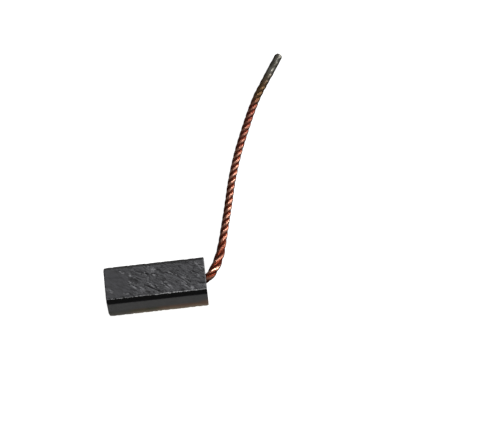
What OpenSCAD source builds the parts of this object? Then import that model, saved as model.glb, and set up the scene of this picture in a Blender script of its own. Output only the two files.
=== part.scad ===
// Carbon brush for a small commutator motor: a baked carbon block with a bare
// stranded copper shunt tamped into one end and tinned at its free end.
//
// Frame: millimetres, +Z up. The origin is the middle of the block's base.
// The contact face, which runs on the commutator, looks along -X, the shunt
// leaves the +X end, and the two long chamfers are on the top face. The brush
// lies on a flat surface at z = 0, and so does its shunt.

/* [Carbon block] */
// Length from the contact face to the shunt end
block_len = 17; // [12:0.5:30]
// Width across the chamfered face
block_w = 6.6; // [5:0.1:12]
// Height from the base to the chamfered face
block_h = 6.5; // [5:0.1:12]
// Leg of the two long 45 degree chamfers
long_chamfer = 0.65; // [0.3:0.05:1.5]
// Break on the two long edges of the base
base_break = 0.15; // [0.05:0.05:0.4]
// Corner radius at the contact end, seen from above
contact_corner_r = 0.45; // [0.1:0.05:0.8]
// Corner radius at the shunt end, seen from above
shunt_corner_r = 0.15; // [0.05:0.05:0.8]
// Break on the top and bottom edges of both ends
end_break = 0.12; // [0.04:0.02:0.4]
// Leg of the chip off the lower corner of the contact end
corner_chip = 0.55; // [0.2:0.05:1]

/* [Shunt hole] */
// Diameter of the blind hole in the shunt end
hole_d = 2.4; // [2.2:0.1:3.5]
// Depth of the hole's straight wall
hole_depth = 6.4; // [5:0.2:9]
// Included angle of the drill point
drill_point = 118; // [90:2:140]
// Countersink at the hole's mouth
mouth_chamfer = 0.2; // [0.05:0.05:0.4]
// How far the tamped powder stops short of the end face
fill_recess = 1.3; // [0.5:0.1:1.5]

/* [Shunt cable] */
// Diameter of the stranded cable
cable_d = 1.3; // [0.8:0.05:1.4]
// Depth that the cable reaches below the end face
cable_depth = 6; // [4:0.2:8]

/* [Tinned end] */
// Diameter over the solder
tip_d = 1.4; // [1:0.05:1.6]
// Length of the tinned end
tip_len = 7; // [4:0.5:12]
// Length over which the solder thickens
tip_run_in = 1.5; // [0.5:0.25:3]
// Bevel round the cut end
tip_bevel = 0.2; // [0.05:0.05:0.3]
// Direction in which the tinned end points, from +X towards +Y
tip_heading = 57.5; // [50:0.5:70]

/* [Hidden] */

overcut = 0.5;                     // how far a cut runs clear of the face it opens
round_fn = 64;
hole_r = hole_d / 2;
cable_r = cable_d / 2;
tip_r = tip_d / 2;
block_top = block_h;
shunt_end_x = block_len / 2;
axis_z = block_h / 2;              // the shunt leaves the middle of the end face
fill_x = shunt_end_x - fill_recess;
drill_cone = hole_r / tan(drill_point / 2);

// The shunt's route. x is measured from the face of the tamped powder and y from
// the block's middle plane. Where it comes down, the third value is the share of
// the drop, from the hole's axis to where it lies, that is still to come.
cable_drop = [
    [0, 0, 1], [0.6, 0.05, 1], [1.15, 0.23, 0.99], [1.66, 0.56, 0.965],
    [2.1, 1.0, 0.92], [2.48, 1.55, 0.84], [3.05, 2.55, 0.66], [3.52, 3.6, 0.47],
    [3.98, 4.8, 0.28], [4.35, 6.0, 0.14], [4.65, 7.2, 0.05], [4.97, 8.4, 0.01]
];
cable_lie = [
    [5.5, 10.6], [6.15, 13], [6.78, 15.5], [7.33, 18], [8.08, 20.5],
    [8.88, 23], [9.8, 25.5], [10.84, 28], [11.82, 30.3], [12.88, 32.6]
];
tip_start = [14.6, 35.65];
tip_lead = 1.5;                    // straight cable in line with the tinned end

tip_dir = [cos(tip_heading), sin(tip_heading)];
function drop_z(share) = cable_r + share * (axis_z - cable_r);
cable_route = concat(
    [
        [shunt_end_x - cable_depth, 0, axis_z],
        [(shunt_end_x - cable_depth + fill_x) / 2, 0, axis_z]
    ],
    [for (p = cable_drop) [fill_x + p[0], p[1], drop_z(p[2])]],
    [for (p = cable_lie) [fill_x + p[0], p[1], cable_r]],
    [
        for (back = [tip_lead, 0])
            [fill_x + tip_start[0] - back * tip_dir[0], tip_start[1] - back * tip_dir[1], tip_r]
    ]
);

// A plain tube of the given radius along a list of points, with one ring of
// corners at each point. The rings stay upright, so the tube doesn't twist.
function unit(v) = v / norm(v);
function heading_at(pts, i) = unit(
    unit(pts[min(i + 1, len(pts) - 1)] - pts[min(i, len(pts) - 2)])
    + unit(pts[max(i, 1)] - pts[max(i - 1, 0)])
);
function ring(centre, along, radius, sides) =
    let (across = unit(cross([0, 0, 1], along)), upward = cross(along, across))
        [for (k = [0:sides - 1]) centre
            + radius * (cos(360 * k / sides) * across + sin(360 * k / sides) * upward)];

module tube(pts, radius, sides = 8) {
    last = len(pts) - 1;
    corners = [for (i = [0:last]) each ring(pts[i], heading_at(pts, i), radius, sides)];
    walls = [for (i = [0:last - 1]) for (k = [0:sides - 1])
        let (next = (k + 1) % sides)
            [i * sides + k, (i + 1) * sides + k, (i + 1) * sides + next, i * sides + next]];
    near_cap = [[for (k = [0:sides - 1]) k]];
    far_cap = [[for (k = [sides - 1:-1:0]) last * sides + k]];
    polyhedron(points = corners, faces = concat(walls, near_cap, far_cap), convexity = 4);
}

// Places a revolved shape on the shunt's axis, with its +Z running into the block
// from the shunt's end face.
module into_shunt_end() {
    translate([shunt_end_x, 0, axis_z])
        rotate([0, -90, 0])
            children();
}

// Outline across the block: two long chamfers above, two small breaks below
module cross_section() {
    half = block_w / 2;
    polygon([
        [-half + base_break, 0], [half - base_break, 0], [half, base_break],
        [half, block_top - long_chamfer], [half - long_chamfer, block_top],
        [-half + long_chamfer, block_top], [-half, block_top - long_chamfer],
        [-half, base_break]
    ]);
}

// Outline from the side, with the end faces' edges broken
module side_outline() {
    half = block_len / 2;
    polygon([
        [-half + end_break, 0], [half - end_break, 0], [half, end_break],
        [half, block_top - end_break], [half - end_break, block_top],
        [-half + end_break, block_top], [-half, block_top - end_break],
        [-half, end_break]
    ]);
}

// Outline from above: a bar with a notch at each corner, and a round that fills it
module plan_outline() {
    half_w = block_w / 2;
    contact_x = -block_len / 2;
    contact_r = contact_corner_r;
    shunt_r = shunt_corner_r;
    polygon([
        [contact_x, contact_r - half_w], [contact_x + contact_r, contact_r - half_w],
        [contact_x + contact_r, -half_w], [shunt_end_x - shunt_r, -half_w],
        [shunt_end_x - shunt_r, shunt_r - half_w], [shunt_end_x, shunt_r - half_w],
        [shunt_end_x, half_w - shunt_r], [shunt_end_x - shunt_r, half_w - shunt_r],
        [shunt_end_x - shunt_r, half_w], [contact_x + contact_r, half_w],
        [contact_x + contact_r, half_w - contact_r], [contact_x, half_w - contact_r]
    ]);
    for (side = [-1, 1]) {
        translate([contact_x + contact_r, side * (half_w - contact_r)])
            circle(contact_r, $fn = round_fn);
        translate([shunt_end_x - shunt_r, side * (half_w - shunt_r)])
            circle(shunt_r, $fn = round_fn);
    }
}

// The blind hole that the cable is tamped into
module shunt_hole() {
    into_shunt_end()
        rotate_extrude($fn = round_fn)
            polygon([
                [0, -overcut], [hole_r + mouth_chamfer + overcut, -overcut],
                [hole_r, mouth_chamfer], [hole_r, hole_depth], [0, hole_depth + drill_cone]
            ]);
}

// A flat chip off the lower corner of the contact end
module chip_cut() {
    edge = corner_chip * sqrt(2);
    translate([-block_len / 2, -block_w / 2, 0])
        rotate([0, 0, 30])
            rotate([0, 45, 0])
                cube([edge, 6 * edge, edge], center = true);
}

module carbon_block() {
    color("#3b3b3e")
        difference() {
            intersection() {
                rotate([90, 0, 90])
                    linear_extrude(block_len, center = true)
                        cross_section();
                rotate([90, 0, 0])
                    linear_extrude(block_w, center = true)
                        side_outline();
                linear_extrude(block_h)
                    plan_outline();
            }
            shunt_hole();
            chip_cut();
        }
}

// Copper powder tamped round the cable until it grips. It fills the hole from the
// drill point up to the recess.
module tamping_plug() {
    color("#7a4a35")
        into_shunt_end()
            rotate_extrude($fn = round_fn)
                polygon([
                    [cable_r, fill_recess], [hole_r, fill_recess], [hole_r, hole_depth],
                    [0, hole_depth + drill_cone], [0, cable_depth], [cable_r, cable_depth]
                ]);
}

module shunt_cable() {
    color("#a8583a")
        tube(cable_route, cable_r);
}

// The solder-dipped end of the cable, a little fatter than the bare strands
module tinned_tip() {
    color("#8d8c86")
        translate(cable_route[len(cable_route) - 1])
            rotate([0, 90, tip_heading])
                rotate_extrude($fn = round_fn)
                    polygon([
                        [0, 0], [cable_r, 0], [tip_r, tip_run_in], [tip_r, tip_len - tip_bevel],
                        [tip_r - tip_bevel, tip_len], [0, tip_len]
                    ]);
}

carbon_block();
tamping_plug();
shunt_cable();
tinned_tip();
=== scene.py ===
import math

import bpy
import numpy as np
from mathutils import Matrix, Vector


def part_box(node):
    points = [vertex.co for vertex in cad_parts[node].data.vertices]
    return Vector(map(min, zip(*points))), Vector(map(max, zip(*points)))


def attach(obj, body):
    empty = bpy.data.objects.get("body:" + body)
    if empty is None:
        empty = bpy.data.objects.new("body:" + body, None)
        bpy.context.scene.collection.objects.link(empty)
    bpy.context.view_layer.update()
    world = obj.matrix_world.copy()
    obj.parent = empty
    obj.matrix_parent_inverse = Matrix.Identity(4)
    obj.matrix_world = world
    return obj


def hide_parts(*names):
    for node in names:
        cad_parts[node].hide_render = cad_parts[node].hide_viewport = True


# The looks of a carbon brush: a baked carbon block with a bare stranded copper
# shunt tamped into one end. Everything is in metres, in the frame's own axes:
# +X runs along the block to the shunt end, and +Z out of the chamfered face.

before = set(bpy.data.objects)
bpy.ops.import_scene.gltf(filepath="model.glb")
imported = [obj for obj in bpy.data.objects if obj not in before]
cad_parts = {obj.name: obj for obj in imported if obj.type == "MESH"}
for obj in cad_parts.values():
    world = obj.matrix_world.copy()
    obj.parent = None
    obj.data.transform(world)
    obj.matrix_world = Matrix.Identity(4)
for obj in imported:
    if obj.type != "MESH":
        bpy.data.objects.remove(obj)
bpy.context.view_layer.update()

MM = 0.001

# The solids' places, from the frame
block_low, block_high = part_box("carbon_block")
plug_low, plug_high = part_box("tamping_plug")
CONTACT_X = block_low.x
SHUNT_END_X = block_high.x
BLOCK_W = block_high.y - block_low.y
BLOCK_H = block_high.z
AXIS_Z = (plug_low.z + plug_high.z) / 2
HOLE_R = (plug_high.y - plug_low.y) / 2
FILL_X = plug_high.x

# The solids' smaller sizes
LONG_CHAMFER = 0.65 * MM
BASE_BREAK = 0.15 * MM
CONTACT_CORNER_R = 0.45 * MM
SHUNT_CORNER_R = 0.15 * MM
END_BREAK = 0.12 * MM
HOLE_DEPTH = 6.4 * MM
DRILL_CONE = HOLE_R / math.tan(math.radians(118) / 2)
MOUTH_CHAMFER = 0.2 * MM
CORNER_CHIP = 0.55 * MM
CABLE_R = 0.65 * MM
CABLE_DEPTH = 6.0 * MM
TIP_R = 0.7 * MM
TIP_LEN = 7.0 * MM
TIP_HEADING = math.radians(57.5)
TIP_LEAD = 1.5 * MM

# The shunt's route, in millimetres from the face of the tamped powder and from
# the block's middle plane. The third value is the share of the drop to come.
CABLE_DROP = [
    (0, 0, 1), (0.6, 0.05, 1), (1.15, 0.23, 0.99), (1.66, 0.56, 0.965),
    (2.1, 1.0, 0.92), (2.48, 1.55, 0.84), (3.05, 2.55, 0.66), (3.52, 3.6, 0.47),
    (3.98, 4.8, 0.28), (4.35, 6.0, 0.14), (4.65, 7.2, 0.05), (4.97, 8.4, 0.01),
]
CABLE_LIE = [
    (5.5, 10.6), (6.15, 13), (6.78, 15.5), (7.33, 18), (8.08, 20.5),
    (8.88, 23), (9.8, 25.5), (10.84, 28), (11.82, 30.3), (12.88, 32.6),
]
TIP_START = (14.6, 35.65)

# How the shunt is laid: soft strands, twisted into a right-hand rope until they press
# into each other, with the wires of each strand laid the other way round. The real
# wires are as fine as hair, and these are as fine as shows. MIDDLE_R fills the gap
# between the strands.
STRANDS = 3
STRAND_WIRES = 22
STRAND_CIRCLE = 0.15 * MM
STRAND_LAY = 3.9 * MM
STRAND_CORE_R = 0.39 * MM
WIRE_CIRCLE = 0.41 * MM
WIRE_R = 0.13 * MM
WIRE_LAY = -12.0 * MM
MIDDLE_R = 0.9 * STRAND_CIRCLE * math.cos(math.pi / STRANDS)
LOOSENESS = 0.03 * MM
STRAND_WANDER = 3.3 * MM
RING_SPACING = 0.28 * MM
WIRE_SIDES = 6
CORE_SIDES = 10
MIDDLE_SIDES = 8
LAY_SEED = 4

# Where the shunt is bent over, past the hole's mouth, the rope opens and its lay is slack.
# Its strands are drawn together as they go under the solder, over DRAWN_FROM to DRAWN_TO
# from the tinned end's start, and they stop just short of the cut.
BEND_FROM_MOUTH = 4.1 * MM
BEND_SPREAD = 4.0 * MM
LAY_SLACK = 1.2
OPENING = 0.85
DRAWN_IN = 0.8
DRAWN_FROM = -0.5 * MM
DRAWN_TO = 0.8 * MM
SHORT_OF_CUT = 0.15 * MM

# Annealed copper. A wire is rubbed clean where it lies this far out from the rope's
# middle. The shunt is duller in a stretch past the bend, and redder and duller from
# UPPER_FROM on. Those lengths are along the shunt from its buried end.
OXIDE = "#6a3020"
UPPER_OXIDE = "#74382c"
RUBBED_COPPER = "#d8a088"
FLUX_STAIN = "#70563c"
OXIDE_ROUGH = 0.45
RUBBED_ROUGH = 0.3
RUBBED_FROM = 0.525 * MM
RUBBED_TO = 0.557 * MM
DULL_MIDDLE = 13.0 * MM
DULL_SPREAD = 2.4 * MM
DULL_LOSS = 0.8
UPPER_FROM = 27 * MM
UPPER_TO = 37 * MM
UPPER_LOSS = 0.45

# Solder. Its places are along the shunt from the tinned end's start too: where it has run
# back to between the strands, where it covers them and where it is full, where copper
# shows through it, and where its flux stains the bare copper.
SOLDER_DARK = "#66635a"
SOLDER_BRIGHT = "#8f8d84"
SOLDER_THIN = "#6c563f"
SOLDER_DULL_ROUGH = 0.6
SOLDER_BRIGHT_ROUGH = 0.35
SOLDER_START = -2.2 * MM
SOLDER_COVERS = -0.2 * MM
SOLDER_FULL = 3 * MM
SOLDER_THIN_R = 0.44 * MM
SOLDER_RISE = 0.23 * MM
SOLDER_LAST_RISE = 0.02 * MM
GROOVE_DEPTH = 0.09 * MM
GROOVE_FILLED = 0.06 * MM
SOLDER_LUMP = 0.06 * MM
SOLDER_LUMP_SIZE = 0.55 * MM
FLUX_FROM = -4.0 * MM
FLUX_TO = -1.8 * MM
COPPER_SHOWS = 0.6 * MM
COPPER_HIDDEN = 3.6 * MM
CUT_ROUND = 0.14 * MM
CUT_ROUND_LENGTH = 0.3 * MM
CUT_GRAIN = 0.2 * MM
CUT_ROUGHNESS = 0.08 * MM

# Tamped powder, which closes on the cable a little inside its round
POWDER_DARK, POWDER_LIGHT = "#4d2f25", "#a8654b"
POWDER_BORE = 0.9 * CABLE_R
GRIT_SIZE = 0.1 * MM
GRIT_DEPTH = 0.07 * MM
HEAP_SIZE = 0.6 * MM
HEAP_DEPTH = 0.15 * MM

# Baked carbon: the ground top, the sides, darker partly as painted shade, the chamfers, black
# partly as painted shade and dark reflection, the torn grains, partly painted glints, the
# chipped near edge with a painted highlight, the cracks, the scratches, darkened as painted
# shade, and the film of dust along the base, paler right at the base
TOP_DARK, TOP_LIGHT = "#565658", "#66666a"
# the sides are darker than the top partly by their own tone and partly as painted shade
SIDE_DARK, SIDE_LIGHT = "#434343", "#4b4b4a"
CHAMFER_BLACK_AND_SHADE = "#111112"
TORN_PALE_AND_GLINT = "#b4b4b8"
CHIP_PALE_AND_HIGHLIGHT = "#d0d0d2"
CRACK_DARK_AND_SCRATCH_SHADE = "#303032"
FILM_OLIVE, FILM_BROWN, FILM_PALE_BASE = "#3f3d24", "#6a4c37", "#8c7d68"
CARBON_ROUGH = 0.55
CHAMFER_ROUGH = 0.4

# The film lies full up to FILM_FULL and ends at FILM_TOP. Along the block it thickens over
# FILM_THICKENS, and its top rises by FILM_RISE over FILM_RISES. The chamfers' black, partly
# their smooth skin and partly painted shade and a painted dark reflection, starts and is full
# that far below their lower edges. The far chamfer faces the lights and is painted less
# black, and FAR_GAIN blacker at the shunt end than at the contact end.
FILM_FULL = 1.5 * MM
FILM_TOP = 2.9 * MM
FILM_RISE = 1.2 * MM
FILM_RISES = (6.4 * MM, 8.0 * MM)
FILM_THICKENS = (-5.5 * MM, -3.8 * MM)
FILM_THIN = 0.35
FILM_GAIN = 0.6
HIDDEN_LOSS = 0.7
FAR_BLACK_AND_SHADE = 0.35
FAR_GAIN = 0.25
BLACK_STARTS = 0.45 * MM
BLACK_FULL = 0.05 * MM

# What the finishes read in millimetres: pattern sizes, the depth at which a scratch is
# painted fully dark as shade, the heights of the film's paler band at the base, and how
# much browner the film gets in each millimetre.
# The real grains of the carbon and the powder are finer, and these are as fine as shows.
OXIDE_PATCH = 1.6
FLUX_PATCH = 0.9
SOLDER_DIMPLE = 0.3
STREAK_WIDTH = 0.5
VEIN_GAP = 0.4
CRACK_GAP = 0.5
SPECK = 0.2
FILM_PATCH = 3.0
POWDER_GRAIN = 0.12
SCRATCH_SHADE_DEPTH = 0.08
PALE_BASE_TOP = 1.6
PALE_BASE_FULL = 0.3
FILM_BROWNING = 0.02

# The way the grinding marks run over the top, and what is torn and scratched there, all
# in millimetres. Marks are drawn out along their run, and have a grain size, a depth and
# a seed. They get shallow towards the contact end, over SMOOTH_END. Patches and scratches
# go from x, y to x, y. Patches then have a width, and scratches a width and a depth.
GRIND = math.radians(-32)
MARK_DRAW = 2.6
SMOOTH_END = (-5.6, -3.4)
GRINDING_MARKS = [(0.34, 0.035, 11), (0.16, 0.02, 12)]
TORN_PATCHES = [
    (-6.1, 2.2, -5.1, 1.8, 0.20), (-4.1, 1.4, -3.4, 0.7, 0.35), (-4.2, -0.1, -3.4, -0.9, 0.40),
    (-8.0, -0.9, -7.4, -1.4, 0.30), (-2.6, -1.2, -1.9, -1.6, 0.25), (-0.7, 2.3, 0.9, 1.4, 0.35),
    (-0.5, 1.4, 0.1, 0.8, 0.30), (-1.1, -0.4, 0.2, -1.5, 0.45), (1.4, -0.7, 2.5, -1.6, 0.50),
    (2.6, 1.1, 3.7, 0.4, 0.30), (4.8, 0.1, 5.6, -0.8, 0.35), (4.7, -1.0, 6.0, -2.2, 0.40),
    (6.4, 0.5, 7.3, -0.2, 0.30), (7.0, 2.4, 8.1, 1.2, 0.35), (7.5, -1.6, 8.2, -2.0, 0.30),
    (-5.2, -1.9, -4.6, -2.1, 0.25), (-1.6, 1.5, -1.0, 0.2, 0.20),
]
SCRATCHES = [
    (-1.9, -0.7, 0.5, -2.1, 0.10, 0.09), (-3.0, 1.8, -1.0, 1.05, 0.09, 0.07),
    (1.9, 1.0, 3.5, 0.3, 0.09, 0.07), (3.5, 0.3, 4.7, -0.6, 0.08, 0.06),
    (4.7, -0.6, 5.9, -1.1, 0.08, 0.05), (2.4, 2.7, 4.8, 2.4, 0.09, 0.05),
    (6.4, 0.8, 7.3, 0.2, 0.08, 0.06), (-4.1, 0.9, -3.0, 0.1, 0.12, 0.07),
    (4.5, 1.2, 5.2, 0.7, 0.08, 0.05), (-0.3, 0.3, 1.5, -0.4, 0.07, 0.04),
    (-6.6, -0.3, -4.4, -1.5, 0.12, 0.02), (-8.0, 1.2, -5.6, 0.9, 0.14, 0.02),
]
TORN_DEPTH = 0.09
TORN_GRAIN_SIZE = 0.22
TORN_SEED = 13

# How closely the skins of the block, the powder and the solder are divided
SECTION_SPACING = 0.1 * MM
LENGTH_RINGS = 190
ROUND_POINTS = 96

# Wear on the block's edges. The near rim, the top's edge over the front chamfer, is
# chipped. Its chips, and a highlight painted along it, get paler towards the shunt end
# over RIM_PALES.
EDGE_ROUND = 0.05 * MM
EDGE_WEAR = 0.04 * MM
EDGE_WEAR_WIDTH = 0.12 * MM
EDGE_NIBBLE = 0.3 * MM
END_WEAR_REACH = 0.2 * MM
RIM_CHIP = 0.1 * MM
RIM_CHIP_WIDTH = 0.16 * MM
RIM_CHIP_SIZE = 0.4 * MM
RIM_PALE_WIDTH = 0.13 * MM
RIM_PALES = (-4 * MM, 4 * MM)
CHIP_GRAIN = 0.2 * MM
CHIP_ROUGHNESS = 0.1 * MM

# The studio, in metres. The table lies just under the strands' crowns, which sink a
# little below the cable's own round.
KEY_FROM = (0.52, 0.24, 0.25)
KEY_SIZE = 0.12
KEY_POWER = 3.0
FILL_FROM = (-0.1, 0.45, 0.6)
FILL_SIZE = 0.7
FILL_POWER = 0.5
LIGHTS_AIM = (0.01, 0.015, 0)
ROOM_GLOW = 0.1
TABLE_WHITE = "#d0d0d0"
TABLE_GLOW = 0.96
TABLE_Z = -0.045 * MM
TABLE_REACH = 2.0
WALL_TOP = 1.5


# ---------------------------------------------------------------- small tools

def linear(hex_colour):
    """An sRGB colour such as "#a05030" as the linear RGBA that a shader wants."""
    channels = [int(hex_colour[i:i + 2], 16) / 255 for i in (1, 3, 5)]
    return [c / 12.92 if c <= 0.04045 else ((c + 0.055) / 1.055) ** 2.4 for c in channels] + [1]


def add(tree, kind, links=(), **settings):
    """Adds a node with its settings and fills its inputs, which come as a list from the
    first one on, or as a dict by name. Each is given a constant, a socket to link to, or
    a node whose first output is linked."""
    made = tree.nodes.new(kind)
    for name, value in settings.items():
        setattr(made, name, value)
    in_order = [socket for socket in made.inputs if socket.enabled]
    by_name = {socket.name: socket for socket in reversed(in_order)}
    for key, value in links.items() if isinstance(links, dict) else enumerate(links):
        socket = by_name[key] if isinstance(key, str) else in_order[key]
        if isinstance(value, bpy.types.Node):
            value = next(output for output in value.outputs if output.enabled)
        if isinstance(value, bpy.types.NodeSocket):
            tree.links.new(value, socket)
        else:
            socket.default_value = value
    return made


def ease(value, start, end):
    """0 below start, 1 above end and a smooth step between them."""
    share = np.clip((value - start) / (end - start), 0, 1)
    return share * share * (3 - 2 * share)


def grain(points, size, seed):
    """Smooth random values from 0 to 1 at each point, with lumps of about that size."""
    cells = 64
    lattice = np.random.default_rng(seed).random((cells, cells, cells))
    spot = points / size
    low = np.floor(spot).astype(int)
    share = spot - low
    share = share * share * (3 - 2 * share)
    total = np.zeros(len(points))
    for corner in np.ndindex(2, 2, 2):
        weight = np.prod(np.where(corner, share, 1 - share), axis=1)
        i, j, k = ((low + corner) % cells).T
        total += weight * lattice[i, j, k]
    return total


def smooth_line(points, steps):
    """A uniform cubic B-spline that starts and ends at the first and last point."""
    p = np.array(points, float)
    p = np.vstack([2 * p[0] - p[1], p, 2 * p[-1] - p[-2]])
    line = []
    for i in range(len(p) - 3):
        for t in np.arange(steps) / steps:
            weights = np.array([
                (1 - t) ** 3,
                3 * t ** 3 - 6 * t ** 2 + 4,
                -3 * t ** 3 + 3 * t ** 2 + 3 * t + 1,
                t ** 3,
            ]) / 6
            line.append(weights @ p[i:i + 4])
    line.append(p[-2])
    return np.array(line)


def place(name, mesh):
    """A new object with that mesh, at the origin."""
    made = bpy.data.objects.new(name, mesh)
    bpy.context.scene.collection.objects.link(made)
    return made


def ring_body(name, rings, material, marks=()):
    """A closed body through rings of as many points each. The first and last ring close to
    a point. marks gives each named attribute one value for every point, ring by ring."""
    rings = np.array(rings)
    count, around = rings.shape[:2]
    middle = count * around
    points = np.vstack([rings.reshape(-1, 3), rings[0].mean(axis=0), rings[-1].mean(axis=0)])
    faces = []
    for here in range(0, (count - 1) * around, around):
        after = here + around
        for k in range(around):
            n = (k + 1) % around
            faces.append((here + k, here + n, after + n, after + k))
    last = (count - 1) * around
    for k in range(around):
        n = (k + 1) % around
        faces.append((n, k, middle))
        faces.append((last + k, last + n, middle + 1))
    mesh = bpy.data.meshes.new(name)
    mesh.from_pydata(points, [], faces)
    mesh.shade_smooth()
    for mark, values in dict(marks).items():
        layer = mesh.attributes.new(mark, "FLOAT", "POINT")
        flat = np.asarray(values, float).reshape(count, around)
        flat = np.concatenate([flat.ravel(), [flat[0].mean(), flat[-1].mean()]])
        layer.data.foreach_set("value", flat)
    mesh.materials.append(material)
    return place(name, mesh)


# ---------------------------------------------------------------- the route

def shunt_route():
    """The cable's points, from its buried end to the cut end of the tinned tip."""
    buried = SHUNT_END_X - CABLE_DEPTH
    points = [(buried, 0, AXIS_Z), ((buried + FILL_X) / 2, 0, AXIS_Z)]
    for x, y, share in CABLE_DROP:
        points.append((FILL_X + x * MM, y * MM, CABLE_R + share * (AXIS_Z - CABLE_R)))
    for x, y in CABLE_LIE:
        points.append((FILL_X + x * MM, y * MM, CABLE_R))
    start = Vector((FILL_X + TIP_START[0] * MM, TIP_START[1] * MM, TIP_R))
    along = Vector((math.cos(TIP_HEADING), math.sin(TIP_HEADING), 0))
    for reach in (-TIP_LEAD, 0, TIP_LEN / 2, TIP_LEN):
        points.append(tuple(start + reach * along))
    return points


LINE = smooth_line(shunt_route(), steps=8)
LINE_REACH = np.concatenate([[0], np.cumsum(np.linalg.norm(np.diff(LINE, axis=0), axis=1))])
LINE_LENGTH = LINE_REACH[-1]
TIP_REACH = LINE_LENGTH - TIP_LEN

# How slack the rope is at each point of the line, from 0 to 1 in the bend, and how many
# turns have been laid up to there
SLACK = np.exp(-((LINE_REACH - CABLE_DEPTH - BEND_FROM_MOUTH) / BEND_SPREAD) ** 2)
TURN_STEPS = np.diff(LINE_REACH) / (STRAND_LAY * (1 + LAY_SLACK * SLACK[1:]))
LAID_TURNS = np.concatenate([[0], np.cumsum(TURN_STEPS)])


def line_point(reach):
    """The shunt's middle at those lengths along it."""
    return np.stack([np.interp(reach, LINE_REACH, LINE[:, i]) for i in range(3)], axis=1)


def line_frame(reach):
    """At those lengths along the shunt: its middle, and its ways along, up and sideways."""
    step = 0.2 * MM
    along = line_point(reach + step) - line_point(reach - step)
    along /= np.linalg.norm(along, axis=1)[:, None]
    side = np.cross(along, (0, 0, 1))
    side /= np.linalg.norm(side, axis=1)[:, None]
    return line_point(reach), along, np.cross(side, along), side


# ---------------------------------------------------------------- camera

def make_camera():
    """A long lens, high over the front of the block, as in a catalogue picture."""
    azimuth = math.radians(-2.74)
    elevation = math.radians(67.68)
    roll = math.radians(-3.83)
    distance = 475.6 * MM
    aim = Vector((17.11, 11.53, 0)) * MM
    back = Vector((
        math.sin(azimuth) * math.cos(elevation),
        -math.cos(azimuth) * math.cos(elevation),
        math.sin(elevation),
    ))
    lens = bpy.data.cameras.new("camera")
    lens.lens = 200
    lens.sensor_width = 36
    lens.clip_start = 0.01
    lens.clip_end = 10
    camera = place("camera", lens)
    camera.location = aim + back * distance
    camera.rotation_mode = "QUATERNION"
    level = (-back).to_track_quat("-Z", "Y")
    camera.rotation_quaternion = level @ Matrix.Rotation(roll, 4, "Z").to_quaternion()
    bpy.context.scene.camera = camera


make_camera()


# ---------------------------------------------------------------- materials

def new_material(name):
    """An empty material, and its tree."""
    material = bpy.data.materials.new(name)
    material.use_nodes = True
    material.node_tree.nodes.clear()
    return material, material.node_tree


def surface_spot(tree):
    """The surface's own place on its piece, in millimetres, for patterns sized in them."""
    spot = add(tree, "ShaderNodeTexCoord").outputs["Object"]
    return add(tree, "ShaderNodeVectorMath", (spot, 1 / MM), operation="SCALE")


def bare_copper():
    """Bare copper wire, drawn, annealed and laid up: salmon pink where the strands' crowns
    are rubbed clean, red-brown with oxide down in the lays, and stained brown where flux
    ran up from the solder."""
    material, tree = new_material("annealed_copper_wire")
    spot = surface_spot(tree)
    along, crown, tone, rubbed = [
        add(tree, "ShaderNodeAttribute", attribute_name=name).outputs["Fac"]
        for name in ("along", "crown", "wire_tone", "rubbed")
    ]

    # how clean each wire is: the oxide stays on in patches, and more on some wires
    film = add(tree, "ShaderNodeTexNoise", {
        "Vector": spot, "Scale": 1 / OXIDE_PATCH, "Detail": 3.0, "Roughness": 0.6})
    film = add(tree, "ShaderNodeMath", (tone, 0.15, film), operation="MULTIPLY_ADD")
    film = add(tree, "ShaderNodeMapRange", (film, 0.35, 0.65, 0.3, 1.0))
    clean = add(tree, "ShaderNodeMapRange", (crown, RUBBED_FROM, RUBBED_TO))
    clean = add(tree, "ShaderNodeMath", (clean, film), operation="MULTIPLY")
    clean = add(tree, "ShaderNodeMath", (clean, rubbed), operation="MULTIPLY")

    # the oxide, the clean crowns and the flux stain
    upper = add(tree, "ShaderNodeMapRange", (along, UPPER_FROM, UPPER_TO))
    colour = add(tree, "ShaderNodeMix", (
        upper, linear(OXIDE), linear(UPPER_OXIDE)), data_type="RGBA")
    colour = add(tree, "ShaderNodeMix", (clean, colour, linear(RUBBED_COPPER)), data_type="RGBA")
    flux = add(tree, "ShaderNodeMapRange", (along, TIP_REACH + FLUX_FROM, TIP_REACH + FLUX_TO))
    colour = add(tree, "ShaderNodeMix", (flux, colour, linear(FLUX_STAIN)), data_type="RGBA")
    rough = add(tree, "ShaderNodeMapRange", (clean, 0.0, 1.0, OXIDE_ROUGH, RUBBED_ROUGH))
    shader = add(tree, "ShaderNodeBsdfPrincipled", {
        "Base Color": colour, "Metallic": 1.0, "Roughness": rough})
    add(tree, "ShaderNodeOutputMaterial", (shader,))
    return material


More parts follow.
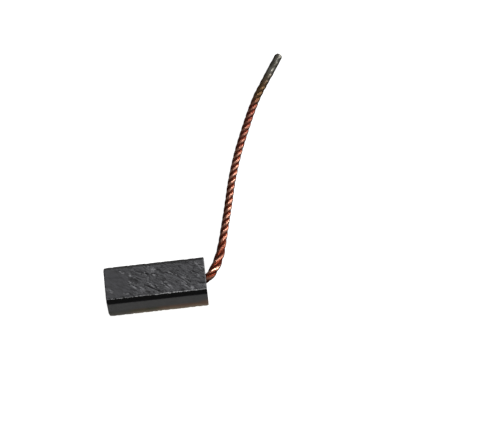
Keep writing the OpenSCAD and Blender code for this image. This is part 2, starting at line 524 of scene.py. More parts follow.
def tin_lead_solder():
    """Tin-lead solder, dipped and left to cool: a lumpy dark grey skin that glints on its
    few smooth runs, yellowed by flux, and thin and brown over the copper where it ends."""
    material, tree = new_material("tin_lead_solder")
    spot = surface_spot(tree)
    along = add(tree, "ShaderNodeAttribute", attribute_name="along").outputs["Fac"]
    film = add(tree, "ShaderNodeTexNoise", {
        "Vector": spot, "Scale": 1 / FLUX_PATCH, "Detail": 3.0, "Roughness": 0.6})
    film = add(tree, "ShaderNodeMapRange", (film, 0.38, 0.66))
    colour = add(tree, "ShaderNodeMix", (
        film, linear(SOLDER_DARK), linear(SOLDER_BRIGHT)), data_type="RGBA")
    thin = add(tree, "ShaderNodeMapRange", (
        along, TIP_REACH + COPPER_HIDDEN, TIP_REACH + COPPER_SHOWS))
    colour = add(tree, "ShaderNodeMix", (thin, colour, linear(SOLDER_THIN)), data_type="RGBA")
    dimples = add(tree, "ShaderNodeTexNoise", {
        "Vector": spot, "Scale": 1 / SOLDER_DIMPLE, "Detail": 3.0})
    bump = add(tree, "ShaderNodeBump", {"Height": dimples, "Strength": 0.6, "Distance": 0.05 * MM})
    rough = add(tree, "ShaderNodeMapRange", (
        film, 0.0, 1.0, SOLDER_DULL_ROUGH, SOLDER_BRIGHT_ROUGH))
    shader = add(tree, "ShaderNodeBsdfPrincipled", {
        "Base Color": colour, "Metallic": 1.0, "Roughness": rough, "Normal": bump})
    add(tree, "ShaderNodeOutputMaterial", (shader,))
    return material


def baked_carbon():
    """Baked carbon-graphite, pressed and then ground. The ground face is a mottled dark
    grey, with pale flecks where grains tore out along the grinding marks, partly painted
    glints, and along its near edge, chips with a painted highlight. Its scratches are
    darkened by their depth as painted shade. The sides are darker than the top, partly by
    their own tone and partly as painted shade. The chamfers are smooth and nearly black,
    partly their pressed skin and partly painted shade and a painted dark reflection. Carbon
    and copper dust lies as a film low on the sides, olive at the contact end and brown at
    the shunt end, and paler right at the base."""
    material, tree = new_material("baked_carbon_graphite")
    spot = surface_spot(tree)
    ground, chamfer, torn, cut, rim, stain = [
        add(tree, "ShaderNodeAttribute", attribute_name=name).outputs["Fac"]
        for name in ("ground", "chamfer", "torn", "cut", "rim", "stain")
    ]

    # the grain, and the veins and cracks that lie along the grinding marks
    turned = add(tree, "ShaderNodeVectorRotate", {
        "Vector": spot, "Angle": -GRIND}, rotation_type="Z_AXIS")
    drawn = add(tree, "ShaderNodeVectorMath", (turned, (0.5, 1, 1)), operation="MULTIPLY")
    long_drawn = add(tree, "ShaderNodeVectorMath", (turned, (0.2, 1, 1)), operation="MULTIPLY")
    streak = add(tree, "ShaderNodeTexNoise", {
        "Vector": drawn, "Scale": 1 / STREAK_WIDTH, "Detail": 2.0, "Roughness": 0.5,
        "Distortion": 0.6})
    vein = add(tree, "ShaderNodeTexNoise", {
        "Vector": drawn, "Scale": 1 / VEIN_GAP, "Detail": 2.0, "Roughness": 0.6,
        "Distortion": 1.0})
    crack = add(tree, "ShaderNodeTexNoise", {
        "Vector": long_drawn, "Scale": 1 / CRACK_GAP, "Detail": 1.0})
    speck = add(tree, "ShaderNodeTexNoise", {"Vector": spot, "Scale": 1 / SPECK, "Detail": 2.0})

    # the ground face: streaks, pale veins where it is torn, partly painted glints of graphite
    # grains, then cracks and scratches, the scratches darkened by depth as painted shade
    light = add(tree, "ShaderNodeMapRange", (streak, 0.3, 0.7, 0.0, 1.0))
    top = add(tree, "ShaderNodeMix", (light, linear(TOP_DARK), linear(TOP_LIGHT)), data_type="RGBA")
    vein = add(tree, "ShaderNodeMath", (vein, 0.5), operation="PINGPONG")
    vein = add(tree, "ShaderNodeMapRange", (vein, 0.42, 0.5))
    gone = add(tree, "ShaderNodeMapRange", (torn, 0.2, 0.8))
    pale = add(tree, "ShaderNodeMath", (vein, gone), operation="MULTIPLY")
    top = add(tree, "ShaderNodeMix", (pale, top, linear(TORN_PALE_AND_GLINT)), data_type="RGBA")
    crack = add(tree, "ShaderNodeMath", (crack, 0.5), operation="PINGPONG")
    crack = add(tree, "ShaderNodeMapRange", (crack, 0.455, 0.5))
    rougher = add(tree, "ShaderNodeMapRange", (torn, 0.1, 0.35))
    crack = add(tree, "ShaderNodeMath", (crack, rougher), operation="MULTIPLY")
    # the cracks are dark lines, and the scratches are painted darker the deeper they are, as shade
    dark = add(tree, "ShaderNodeMath", (
        cut, 1 / SCRATCH_SHADE_DEPTH, crack), operation="MULTIPLY_ADD", use_clamp=True)
    top = add(tree, "ShaderNodeMix", (dark, top, linear(CRACK_DARK_AND_SCRATCH_SHADE)), data_type="RGBA")

    # the sides, darker than the top partly by their own tone and partly as painted shade, and the
    # chamfers
    side = add(tree, "ShaderNodeMix", (
        light, linear(SIDE_DARK), linear(SIDE_LIGHT)), data_type="RGBA")
    colour = add(tree, "ShaderNodeMix", (ground, side, top), data_type="RGBA")
    # the chamfers' near-black is partly their smooth pressed skin and partly painted shade and a
    # painted dark reflection
    colour = add(tree, "ShaderNodeMix", (chamfer, colour, linear(CHAMFER_BLACK_AND_SHADE)), data_type="RGBA")

    # the chipped near edge, with a highlight painted along it
    chipped = add(tree, "ShaderNodeMath", (speck, rim), operation="MULTIPLY")
    chipped = add(tree, "ShaderNodeMapRange", (chipped, 0.27, 0.42))
    colour = add(tree, "ShaderNodeMix", (chipped, colour, linear(CHIP_PALE_AND_HIGHLIGHT)), data_type="RGBA")

    # the film: browner towards the shunt end, and paler right at the base
    patchy = add(tree, "ShaderNodeTexNoise", {
        "Vector": spot, "Scale": 1 / FILM_PATCH, "Detail": 2.0})
    placed = add(tree, "ShaderNodeSeparateXYZ", (spot,)).outputs
    hue = add(tree, "ShaderNodeMath", (
        placed["X"], FILM_BROWNING, patchy), operation="MULTIPLY_ADD")
    hue = add(tree, "ShaderNodeMapRange", (hue, 0.47, 0.68))
    film = add(tree, "ShaderNodeMix", (
        hue, linear(FILM_OLIVE), linear(FILM_BROWN)), data_type="RGBA")
    paler_base = add(tree, "ShaderNodeMapRange", (placed["Z"], PALE_BASE_TOP, PALE_BASE_FULL))
    film = add(tree, "ShaderNodeMix", (paler_base, film, linear(FILM_PALE_BASE)), data_type="RGBA")
    settled = add(tree, "ShaderNodeMapRange", (patchy, 0.3, 0.5, 0.6, 1.0))
    settled = add(tree, "ShaderNodeMath", (settled, stain), operation="MULTIPLY")
    colour = add(tree, "ShaderNodeMix", (settled, colour, film), data_type="RGBA")

    height = add(tree, "ShaderNodeMath", (streak, speck), operation="ADD")
    bump = add(tree, "ShaderNodeBump", {"Height": height, "Strength": 0.5, "Distance": 0.04 * MM})
    rough = add(tree, "ShaderNodeMapRange", (chamfer, 0.0, 1.0, CARBON_ROUGH, CHAMFER_ROUGH))
    shader = add(tree, "ShaderNodeBsdfPrincipled", {
        "Base Color": colour, "Roughness": rough, "Specular IOR Level": 0.4, "Normal": bump})
    add(tree, "ShaderNodeOutputMaterial", (shader,))
    return material


def tamped_copper():
    """Copper powder tamped hard round the cable: a dull brown, gritty face."""
    material, tree = new_material("tamped_copper_powder")
    spot = surface_spot(tree)
    grit = add(tree, "ShaderNodeTexNoise", {
        "Vector": spot, "Scale": 1 / POWDER_GRAIN, "Detail": 3.0})
    share = add(tree, "ShaderNodeMapRange", (grit, 0.35, 0.65))
    colour = add(tree, "ShaderNodeMix", (
        share, linear(POWDER_DARK), linear(POWDER_LIGHT)), data_type="RGBA")
    bump = add(tree, "ShaderNodeBump", {"Height": grit, "Strength": 0.8, "Distance": 0.05 * MM})
    shader = add(tree, "ShaderNodeBsdfPrincipled", {
        "Base Color": colour, "Metallic": 0.6, "Roughness": 0.6, "Normal": bump})
    add(tree, "ShaderNodeOutputMaterial", (shader,))
    return material


def table_top():
    """White acrylic over a light box: an even white that swallows soft shadows."""
    material, tree = new_material("white_light_table")
    shader = add(tree, "ShaderNodeBsdfPrincipled", {
        "Base Color": linear(TABLE_WHITE), "Roughness": 0.9,
        "Emission Color": linear("#ffffff"), "Emission Strength": TABLE_GLOW})
    add(tree, "ShaderNodeOutputMaterial", (shader,))
    return material


# ---------------------------------------------------------------- the shunt rope

def rope_tree():
    """Lays wires into strands, and strands into a rope, round a line of edges. The line
    says at each point how many turns the strands have made ("laid_turns"), and how far
    they stand out from its middle, as a share of the strand circle ("opening")."""
    tree = bpy.data.node_groups.new("rope_lay", "GeometryNodeTree")
    for name, kind in (
        ("Line", "NodeSocketGeometry"), ("Ring spacing", "NodeSocketFloat"),
        ("Strands", "NodeSocketInt"), ("Wires", "NodeSocketInt"),
        ("Strand circle", "NodeSocketFloat"), ("Wire circle", "NodeSocketFloat"),
        ("Strand core radius", "NodeSocketFloat"), ("Wire radius", "NodeSocketFloat"),
        ("Middle radius", "NodeSocketFloat"), ("Wire lay", "NodeSocketFloat"),
        ("Looseness", "NodeSocketFloat"), ("Wander length", "NodeSocketFloat"),
        ("Wire sides", "NodeSocketInt"), ("Core sides", "NodeSocketInt"),
        ("Middle sides", "NodeSocketInt"), ("Seed", "NodeSocketInt"),
        ("Material", "NodeSocketMaterial"),
    ):
        tree.interface.new_socket(name, in_out="INPUT", socket_type=kind)
    tree.interface.new_socket("Rope", in_out="OUTPUT", socket_type="NodeSocketGeometry")
    given = add(tree, "NodeGroupInput").outputs

    curve = add(tree, "GeometryNodeMeshToCurve", (given["Line"],))
    curve = add(tree, "GeometryNodeResampleCurve", {
        "Curve": curve, "Length": given["Ring spacing"]}, mode="LENGTH")
    reach = add(tree, "GeometryNodeSplineParameter").outputs["Length"]
    along = add(tree, "GeometryNodeInputTangent")
    side = add(tree, "ShaderNodeVectorMath", (along, (0, 0, 1)), operation="CROSS_PRODUCT")
    side = add(tree, "ShaderNodeVectorMath", (side,), operation="NORMALIZE")
    upward = add(tree, "ShaderNodeVectorMath", (side, along), operation="CROSS_PRODUCT")
    opening = add(tree, "GeometryNodeInputNamedAttribute", {"Name": "opening"}, data_type="FLOAT")
    laid = add(tree, "GeometryNodeInputNamedAttribute", {"Name": "laid_turns"}, data_type="FLOAT")

    def on_circle(radius, turns):
        """The offset of a point on a circle round the line, after that many turns."""
        angle = add(tree, "ShaderNodeMath", (turns, 2 * math.pi), operation="MULTIPLY")
        rise = add(tree, "ShaderNodeMath", (angle,), operation="COSINE")
        rise = add(tree, "ShaderNodeMath", (rise, radius), operation="MULTIPLY")
        sway = add(tree, "ShaderNodeMath", (angle,), operation="SINE")
        sway = add(tree, "ShaderNodeMath", (sway, radius), operation="MULTIPLY")
        rise = add(tree, "ShaderNodeVectorMath", (upward, rise), operation="SCALE")
        sway = add(tree, "ShaderNodeVectorMath", (side, sway), operation="SCALE")
        return add(tree, "ShaderNodeVectorMath", (rise, sway), operation="ADD")

    def strand_offset(strand):
        """From the rope's middle to a strand's, with the slack that lets it wander."""
        where = add(tree, "ShaderNodeMath", (reach, given["Wander length"]), operation="DIVIDE")
        where = add(tree, "ShaderNodeCombineXYZ", (where, strand, given["Seed"]))
        wander = add(tree, "ShaderNodeTexNoise", {"Vector": where, "Scale": 1.0, "Detail": 1.0})
        wander = add(tree, "ShaderNodeMath", (wander, 0.5), operation="SUBTRACT")
        radius = add(tree, "ShaderNodeMath", (
            given["Strand circle"], opening), operation="MULTIPLY")
        radius = add(tree, "ShaderNodeMath", (
            wander, given["Looseness"], radius), operation="MULTIPLY_ADD")
        share = add(tree, "ShaderNodeMath", (strand, given["Strands"]), operation="DIVIDE")
        turns = add(tree, "ShaderNodeMath", (laid, share), operation="ADD")
        return on_circle(radius, turns)

    def swept(line, offset, radius, sides, marks):
        """A tube laid at that offset from the line, with the marks that its material reads."""
        for name, value in marks.items():
            line = add(tree, "GeometryNodeStoreNamedAttribute", {
                "Geometry": line, "Name": name, "Value": value},
                data_type="FLOAT", domain="POINT")
        line = add(tree, "GeometryNodeSetPosition", {"Geometry": line, "Offset": offset})
        ring = add(tree, "GeometryNodeCurvePrimitiveCircle", {
            "Resolution": sides, "Radius": radius})
        return add(tree, "GeometryNodeCurveToMesh", {
            "Curve": line, "Profile Curve": ring, "Fill Caps": True})

    # the wires round each strand, laid the other way
    count = add(tree, "ShaderNodeMath", (given["Strands"], given["Wires"]), operation="MULTIPLY")
    wires = add(tree, "GeometryNodeDuplicateElements", {
        "Geometry": curve, "Amount": count}, domain="SPLINE")
    index = wires.outputs["Duplicate Index"]
    share = add(tree, "ShaderNodeMath", (index, given["Wires"]), operation="DIVIDE")
    strand = add(tree, "ShaderNodeMath", (share,), operation="FLOOR")
    turns = add(tree, "ShaderNodeMath", (reach, given["Wire lay"]), operation="DIVIDE")
    turns = add(tree, "ShaderNodeMath", (turns, share), operation="ADD")
    offset = add(tree, "ShaderNodeVectorMath", (
        strand_offset(strand), on_circle(given["Wire circle"], turns)), operation="ADD")

    # how far out each wire lies when the rope is closed, and how dark each one is
    crown = add(tree, "ShaderNodeVectorMath", (offset,), operation="LENGTH")
    spread = add(tree, "ShaderNodeMath", (opening, 1.0), operation="SUBTRACT")
    spread = add(tree, "ShaderNodeMath", (spread, given["Strand circle"]), operation="MULTIPLY")
    crown = add(tree, "ShaderNodeMath", (crown, spread), operation="SUBTRACT")
    tone = add(tree, "FunctionNodeRandomValue", {
        "ID": index, "Seed": given["Seed"]}, data_type="FLOAT")
    outer = swept(wires, offset, given["Wire radius"], given["Wire sides"], {
        "along": reach, "crown": crown, "wire_tone": tone})

    # the inside of each strand, and what fills the gap between the strands
    cores = add(tree, "GeometryNodeDuplicateElements", {
        "Geometry": curve, "Amount": given["Strands"]}, domain="SPLINE")
    offset = strand_offset(cores.outputs["Duplicate Index"])
    inner = swept(cores, offset, given["Strand core radius"], given["Core sides"], {
        "along": reach, "crown": given["Strand circle"], "wire_tone": 0.3})
    middle = swept(curve, (0, 0, 0), given["Middle radius"], given["Middle sides"], {
        "along": reach, "crown": 0.0, "wire_tone": 0.0})

    joined = add(tree, "GeometryNodeJoinGeometry")
    for part in (outer, inner, middle):
        tree.links.new(part.outputs[0], joined.inputs[0])
    smooth = add(tree, "GeometryNodeSetShadeSmooth", (joined,))
    real = add(tree, "GeometryNodeRealizeInstances", (smooth,))
    dressed = add(tree, "GeometryNodeSetMaterial", {
        "Geometry": real, "Material": given["Material"]})
    add(tree, "NodeGroupOutput", (dressed,))
    return tree


def plain_mesh(obj, name):
    """The object with its modifiers applied, as a new object with a plain mesh."""
    graph = bpy.context.evaluated_depsgraph_get()
    mesh = bpy.data.meshes.new_from_object(obj.evaluated_get(graph))
    obj.modifiers.clear()
    bpy.data.objects.remove(obj)
    mesh.name = name
    return place(name, mesh)


def shunt_rope(copper):
    """The bare copper rope. It opens a little where it is bent over, just out of the block,
    and runs on through the solder. "rubbed" says how far its crowns are rubbed clean."""
    mesh = bpy.data.meshes.new("rope_line")
    points = LINE.copy()
    points[-1] = line_point(np.array([LINE_LENGTH - SHORT_OF_CUT]))[0]
    mesh.from_pydata([tuple(p) for p in points], [(i, i + 1) for i in range(len(points) - 1)], [])
    dull = np.exp(-((LINE_REACH - DULL_MIDDLE) / DULL_SPREAD) ** 2)
    rubbed = 1 - DULL_LOSS * dull - UPPER_LOSS * ease(LINE_REACH, UPPER_FROM, UPPER_TO)
    drawn_in = DRAWN_IN * ease(LINE_REACH, TIP_REACH + DRAWN_FROM, TIP_REACH + DRAWN_TO)
    opening = 1 + OPENING * SLACK - drawn_in
    marks = {"opening": opening, "laid_turns": LAID_TURNS, "rubbed": rubbed}
    for name, values in marks.items():
        mesh.attributes.new(name, "FLOAT", "POINT").data.foreach_set("value", values)
    line = place("rope_line", mesh)
    tree = rope_tree()
    sizes = {
        "Ring spacing": RING_SPACING, "Strands": STRANDS, "Wires": STRAND_WIRES,
        "Strand circle": STRAND_CIRCLE, "Wire circle": WIRE_CIRCLE,
        "Strand core radius": STRAND_CORE_R, "Wire radius": WIRE_R, "Middle radius": MIDDLE_R,
        "Wire lay": WIRE_LAY, "Looseness": LOOSENESS, "Wander length": STRAND_WANDER,
        "Wire sides": WIRE_SIDES, "Core sides": CORE_SIDES, "Middle sides": MIDDLE_SIDES,
        "Seed": LAY_SEED, "Material": copper,
    }
    modifier = line.modifiers.new("rope_lay", "NODES")
    modifier.node_group = tree
    for socket in tree.interface.items_tree:
        if socket.name in sizes:
            modifier[socket.identifier] = sizes[socket.name]
    rope = plain_mesh(line, "shunt_rope")
    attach(rope, "root")
    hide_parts("shunt_cable")
    return rope


# ---------------------------------------------------------------- the tinned end

def solder_tip(solder):
    """Solder that has run up between the strands and covers them, cut off with side cutters.
    Its rings follow the strands' crowns and the grooves between them, and get lumpy."""
    angle = np.arange(ROUND_POINTS) / ROUND_POINTS * 2 * math.pi
    reach = np.concatenate([
        np.linspace(TIP_REACH + SOLDER_START, LINE_LENGTH - 0.4 * MM, 88),
        LINE_LENGTH - np.array([0.3, 0.2, 0.1, 0]) * MM,
    ])
    middle, along, upward, side = line_frame(reach)
    into = reach - TIP_REACH
    crown = (
        SOLDER_THIN_R + SOLDER_RISE * ease(into, SOLDER_START, SOLDER_COVERS)
        + SOLDER_LAST_RISE * ease(into, 0, SOLDER_FULL))
    groove = GROOVE_DEPTH - GROOVE_FILLED * ease(into, -1.0 * MM, 1.5 * MM)
    lumpy = SOLDER_LUMP * ease(into, -1.0 * MM, 1.0 * MM)
    rounded = CUT_ROUND * (1 - ease(LINE_LENGTH - reach, 0, CUT_ROUND_LENGTH))
    turned = 2 * math.pi * np.interp(reach, LINE_REACH, LAID_TURNS)
    rings = []
    for i in range(len(reach)):
        radius = crown[i] - groove[i] * (1 - np.cos(STRANDS * (angle - turned[i]))) / 2
        circle = np.outer(np.cos(angle), upward[i]) + np.outer(np.sin(angle), side[i])
        lumps = grain(middle[i] + circle * radius[:, None], SOLDER_LUMP_SIZE, seed=7) - 0.5
        radius = radius + lumpy[i] * lumps - rounded[i]
        rings.append(middle[i] + circle * radius[:, None])

    # the cut face
    cut = rings[-1]
    centre = cut.mean(axis=0)
    for share in (0.85, 0.7, 0.55, 0.4, 0.25, 0.12):
        ring = centre + (cut - centre) * share
        rough = (grain(ring, CUT_GRAIN, seed=9) - 0.5) * CUT_ROUGHNESS
        rings.append(ring + np.outer(rough, along[-1]))
    beyond = np.full(len(rings) - len(reach), LINE_LENGTH)
    marks = {"along": np.repeat(np.concatenate([reach, beyond]), ROUND_POINTS)}
    tip = ring_body("solder_tip", rings, solder, marks)
    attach(tip, "root")
    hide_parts("tinned_tip")
    return tip


# ---------------------------------------------------------------- the carbon block

def rounded_outline(corners, rounding, spacing):
    """Points round a polygon with each corner a little rounded, and each point's distance
    from the nearest corner. The corners run anticlockwise."""
    corners = np.array(corners)
    outline, wear = [], []
    for i, corner in enumerate(corners):
        back = corners[i - 1] - corner
        onward = corners[(i + 1) % len(corners)] - corner
        enter = corner + back * rounding / np.linalg.norm(back)
        leave = corner + onward * rounding / np.linalg.norm(onward)
        for t in (0, 0.25, 0.5, 0.75, 1):
            outline.append((1 - t) ** 2 * enter + 2 * t * (1 - t) * corner + t * t * leave)
            wear.append(abs(t - 0.5) * 2 * rounding)
        length = np.linalg.norm(onward) - 2 * rounding
        steps = max(2, int(length / spacing))
        for step in range(1, steps):
            reach = length * step / steps
            outline.append(leave + onward / np.linalg.norm(onward) * reach)
            wear.append(rounding + min(reach, length - reach))
    return np.array(outline), np.array(wear)


def block_section():
    """The outline across the block: two long chamfers above, two small breaks below."""
    half = BLOCK_W / 2
    return rounded_outline([
        (-half + BASE_BREAK, 0), (half - BASE_BREAK, 0), (half, BASE_BREAK),
        (half, BLOCK_H - LONG_CHAMFER), (half - LONG_CHAMFER, BLOCK_H),
        (-half + LONG_CHAMFER, BLOCK_H), (-half, BLOCK_H - LONG_CHAMFER), (-half, BASE_BREAK),
    ], EDGE_ROUND, SECTION_SPACING)


def stroke_gap(x, y, start_x, start_y, end_x, end_y):
    """How far those places are from a stroke."""
    way = np.array([end_x - start_x, end_y - start_y])
    share = np.clip(((x - start_x) * way[0] + (y - start_y) * way[1]) / (way @ way), 0, 1)
    return np.hypot(x - start_x - share * way[0], y - start_y - share * way[1])


def worn_top(x, y):
    """How deep the ground face is worn at those places, how badly it is torn from 0 to 1,
    and how deep in a scratch they are. Places and depths are in millimetres."""
    run = x * math.cos(GRIND) + y * math.sin(GRIND)
    across = y * math.cos(GRIND) - x * math.sin(GRIND)
    spots = np.column_stack([run / MARK_DRAW, across, np.zeros(len(x))])
    rough = 0.3 + 0.7 * ease(x, *SMOOTH_END)
    depth = rough * sum(deep * grain(spots, size, seed) for size, deep, seed in GRINDING_MARKS)
    torn = np.zeros(len(x))
    for *stroke, width in TORN_PATCHES:
        torn = np.maximum(torn, np.exp(-(stroke_gap(x, y, *stroke) / width) ** 2))
    depth += TORN_DEPTH * torn * ease(grain(spots, TORN_GRAIN_SIZE, TORN_SEED), 0.3, 0.7)
    cut = np.zeros(len(x))
    for *stroke, width, deep in SCRATCHES:
        cut = np.maximum(cut, deep * np.exp(-(stroke_gap(x, y, *stroke) / width) ** 2))
    return depth + cut, np.maximum(torn, 0.35 * rough), cut


def corner_chip(points):
    """Cuts the chipped corner off, a little uneven."""
    lean = math.radians(45)
    turn = math.radians(30)
    facing = np.array([
        math.cos(lean) * math.cos(turn), math.cos(lean) * math.sin(turn), math.sin(lean)])
    depth = CORNER_CHIP / math.sqrt(2) - (points - (CONTACT_X, -BLOCK_W / 2, 0)) @ facing
    depth += (grain(points, CHIP_GRAIN, seed=21) - 0.5) * CHIP_ROUGHNESS
    return points + np.outer(np.maximum(depth, 0), facing)


def carbon_block(carbon):
    """The block, as one skin of rings from the middle of the contact face, along the faces,
    round the shunt end and down to the drill point of the hole. The rings lie closer
    where the ends are rounded and round the hole's mouth."""
    section, corner_gap = block_section()
    middle = np.array([0, BLOCK_H / 2])
    half = BLOCK_W / 2
    stations = np.concatenate([
        CONTACT_X + np.array([0, 0.03, 0.07, 0.12, 0.18, 0.25, 0.32, 0.4]) * MM,
        np.linspace(CONTACT_X + 0.48 * MM, SHUNT_END_X - 0.35 * MM, LENGTH_RINGS),
        SHUNT_END_X - np.array([0.28, 0.21, 0.15, 0.1, 0.05, 0]) * MM,
    ])

    def tapered(x):
        """The section at x, drawn in where the ends' corners are rounded and broken."""
        inset = 0.0
        for gap, corner in ((x - CONTACT_X, CONTACT_CORNER_R), (SHUNT_END_X - x, SHUNT_CORNER_R)):
            if gap < corner:
                inset = corner - math.sqrt(max(0, corner ** 2 - (corner - gap) ** 2))
        broken = max(0, END_BREAK - min(x - CONTACT_X, SHUNT_END_X - x))
        shrink = (1 - inset / half, 1 - broken / middle[1])
        return middle + (section - middle) * shrink

    contact, shunt_end = tapered(CONTACT_X), tapered(SHUNT_END_X)
    spoke = shunt_end - (0, AXIS_Z)
    spoke /= np.linalg.norm(spoke, axis=1)[:, None]
    mouth = (0, AXIS_Z) + spoke * (HOLE_R + MOUTH_CHAMFER)
    inward = [0.98, 0.95, 0.89, 0.82, 0.74, 0.65, 0.55, 0.45, 0.35, 0.25, 0.15, 0.07, 0.03, 0.01]
    outward = [0.01, 0.03, 0.07, 0.13, 0.22, 0.32, 0.43, 0.54, 0.65, 0.76, 0.87, 0.95, 1]
    bore = [(0.06, 0.14), (0.13, 0.07)]
    bore += [(depth, 0) for depth in (0.2, 0.3, 0.5, 0.8, 1.1, 1.5, 3, 5)]
    point = SHUNT_END_X - HOLE_DEPTH - 0.97 * DRILL_CONE

    # each ring's place along the block, its outline and its distance from the end's edges
    rings = [(CONTACT_X, contact + (middle - contact) * share, share * half) for share in inward]
    rings += [(x, tapered(x), min(x - CONTACT_X, SHUNT_END_X - x)) for x in stations]
    rings += [
        (SHUNT_END_X, shunt_end + (mouth - shunt_end) * share, share * (half - HOLE_R))
        for share in outward
    ]
    rings += [
        (SHUNT_END_X - depth * MM, (0, AXIS_Z) + spoke * (HOLE_R + wider * MM), half)
        for depth, wider in bore
    ]
    rings += [
        (SHUNT_END_X - HOLE_DEPTH, (0, AXIS_Z) + spoke * HOLE_R, half),
        (point, (0, AXIS_Z) + spoke * 0.03 * HOLE_R, half),
    ]
    first = len(inward)
    last = first + len(stations)
    points = np.array([
        np.column_stack([np.full(len(outline), x), outline]) for x, outline, gap in rings])
    end_gap = np.array([gap for x, outline, gap in rings])[:, None]
    body = np.zeros((len(rings), 1))
    body[first:last] = 1

    # which face each point is on
    x, y, z = np.moveaxis(points, 2, 0)
    top_edge = half - LONG_CHAMFER
    foot = BLOCK_H - LONG_CHAMFER
    hair = 0.001 * MM
    on_top = body * (z > BLOCK_H - END_BREAK - hair) * (np.abs(y) < top_edge + hair)
    sloped = body * ease(z, foot - BLACK_STARTS, foot - BLACK_FULL) * (1 - on_top)
    edge = np.exp(-(np.minimum(corner_gap[None, :], end_gap) / EDGE_WEAR_WIDTH) ** 2)
    edge[last + len(outward) - 1:] = 0
    near_rim = np.hypot(y + top_edge, z - BLOCK_H)

    # wear: the ground face goes down, and all the edges are nibbled away
    flat = points.reshape(-1, 3)
    wear = worn_top(flat[:, 0] / MM, flat[:, 1] / MM)
    depth, torn, cut = [values.reshape(x.shape) for values in wear]
    nibble = ease(grain(flat, EDGE_NIBBLE, seed=31), 0.45, 0.8).reshape(x.shape)
    chipped = ease(grain(flat, RIM_CHIP_SIZE, seed=32), 0.5, 0.75).reshape(x.shape)
    chipped = chipped * np.exp(-(near_rim / RIM_CHIP_WIDTH) ** 2) * body
    to_middle = np.stack([
        -np.sign(x) * (end_gap < END_WEAR_REACH), -y / half, (middle[1] - z) / middle[1],
    ], axis=2)
    points = points + to_middle * (EDGE_WEAR * edge * nibble)[:, :, None]
    points[:, :, 2] -= depth * MM * on_top + RIM_CHIP * chipped
    points = corner_chip(points.reshape(-1, 3)).reshape(points.shape)

    # what the finish reads: the film is thin on the end faces and the far side too
    # the far chamfer faces the lights, so its black, in part painted shade, is weaker than the near
    # one's
    far_black_and_shade = FAR_BLACK_AND_SHADE + FAR_GAIN * ease(x, CONTACT_X, SHUNT_END_X)
    film_top = FILM_TOP + FILM_RISE * ease(x, *FILM_RISES)
    film = (1 - ease(z, FILM_FULL, film_top)) * (FILM_THIN + FILM_GAIN * ease(x, *FILM_THICKENS))
    hidden = np.maximum(1 - body, ease(y, 0, half))
    # the near rim's pale line is its chips and a painted highlight, paler towards the shunt end
    pale_rim = 0.7 + 0.3 * ease(x, *RIM_PALES)
    marks = {
        "ground": on_top, "torn": torn * on_top, "cut": cut * on_top,
        "chamfer": sloped * np.where(y > 0, far_black_and_shade, 1),
        "rim": np.exp(-(near_rim / RIM_PALE_WIDTH) ** 2) * pale_rim,
        "stain": film * (1 - HIDDEN_LOSS * hidden),
    }
    block = ring_body("carbon_body", points, carbon, marks)
    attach(block, "root")
    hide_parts("carbon_block")
    return block


# ---------------------------------------------------------------- the tamped powder

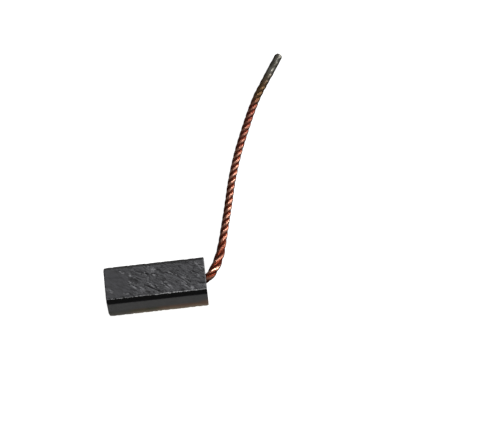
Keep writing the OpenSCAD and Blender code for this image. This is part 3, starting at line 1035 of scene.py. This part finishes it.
def powder_plug(powder):
    """The tamped powder: a gritty ring face round the cable, with the cable's bore behind
    it. Its profile gives depths below the shunt end, and radii."""
    angle = np.arange(ROUND_POINTS) / ROUND_POINTS * 2 * math.pi
    face = SHUNT_END_X - FILL_X
    profile = [(CABLE_DEPTH, 0.02 * MM), (CABLE_DEPTH, 0.5 * POWDER_BORE)]
    profile += [(CABLE_DEPTH, POWDER_BORE)]
    profile += [(depth * MM, POWDER_BORE) for depth in (4.5, 3, 1.8, 1.45)]
    profile += [(face, radius) for radius in np.linspace(POWDER_BORE, HOLE_R, 18)]
    profile += [(depth * MM, HOLE_R) for depth in (1.4, 1.6, 3, 5, HOLE_DEPTH / MM)]
    profile += [(HOLE_DEPTH + 0.5 * DRILL_CONE, 0.5 * HOLE_R)]
    profile += [(HOLE_DEPTH + 0.98 * DRILL_CONE, 0.02 * HOLE_R)]
    rings = []
    for depth, radius in profile:
        ring = np.column_stack([
            np.full(ROUND_POINTS, SHUNT_END_X - depth),
            radius * np.cos(angle),
            AXIS_Z + radius * np.sin(angle),
        ])
        if depth == face:
            grit = (grain(ring, GRIT_SIZE, seed=3) - 0.5) * GRIT_DEPTH
            heaps = (grain(ring, HEAP_SIZE, seed=5) - 0.5) * HEAP_DEPTH
            ring[:, 0] += grit + heaps
        rings.append(ring)
    plug = ring_body("powder_plug", rings[::-1], powder)
    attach(plug, "root")
    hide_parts("tamping_plug")
    return plug


rope = shunt_rope(bare_copper())
tip = solder_tip(tin_lead_solder())
carbon_block(baked_carbon())
powder_plug(tamped_copper())


# ---------------------------------------------------------------- table and light

def soft_box(name, where, size, power):
    """A square soft box that faces the brush."""
    lamp = bpy.data.lights.new(name, "AREA")
    lamp.size = size
    lamp.energy = power
    holder = place(name, lamp)
    holder.location = where
    holder.rotation_mode = "QUATERNION"
    facing = Vector(LIGHTS_AIM) - Vector(where)
    holder.rotation_quaternion = facing.to_track_quat("-Z", "Y")


def make_studio():
    """A light table in a pale room, with a small soft box low on the right as the key, and
    a wide, weak one high behind as the fill. The table is flagged off, so that the bright
    metal doesn't mirror it, and the wall round it is there for the eye alone."""
    acrylic = table_top()
    corners = [(-TABLE_REACH, -TABLE_REACH), (TABLE_REACH, -TABLE_REACH),
               (TABLE_REACH, TABLE_REACH), (-TABLE_REACH, TABLE_REACH)]
    floor = [(x, y, TABLE_Z) for x, y in corners]
    upper = [(x, y, WALL_TOP) for x, y in corners]
    mesh = bpy.data.meshes.new("table")
    mesh.from_pydata(floor, [], [(0, 1, 2, 3)])
    mesh.materials.append(acrylic)
    table = place("table", mesh)
    table.visible_glossy = False
    mesh = bpy.data.meshes.new("wall")
    sides = [(i, i + 4, (i + 1) % 4 + 4, (i + 1) % 4) for i in range(4)]
    mesh.from_pydata(floor + upper, [], sides)
    mesh.materials.append(acrylic)
    wall = place("wall", mesh)
    wall.visible_glossy = wall.visible_diffuse = wall.visible_shadow = False
    soft_box("key_soft_box", KEY_FROM, KEY_SIZE, KEY_POWER)
    soft_box("fill_soft_box", FILL_FROM, FILL_SIZE, FILL_POWER)
    world = bpy.data.worlds.new("studio")
    world.use_nodes = True
    room = world.node_tree.nodes["Background"].inputs
    room["Color"].default_value = linear("#ffffff")
    room["Strength"].default_value = ROOM_GLOW
    bpy.context.scene.world = world
    bpy.context.scene.view_settings.view_transform = "Standard"


make_studio()
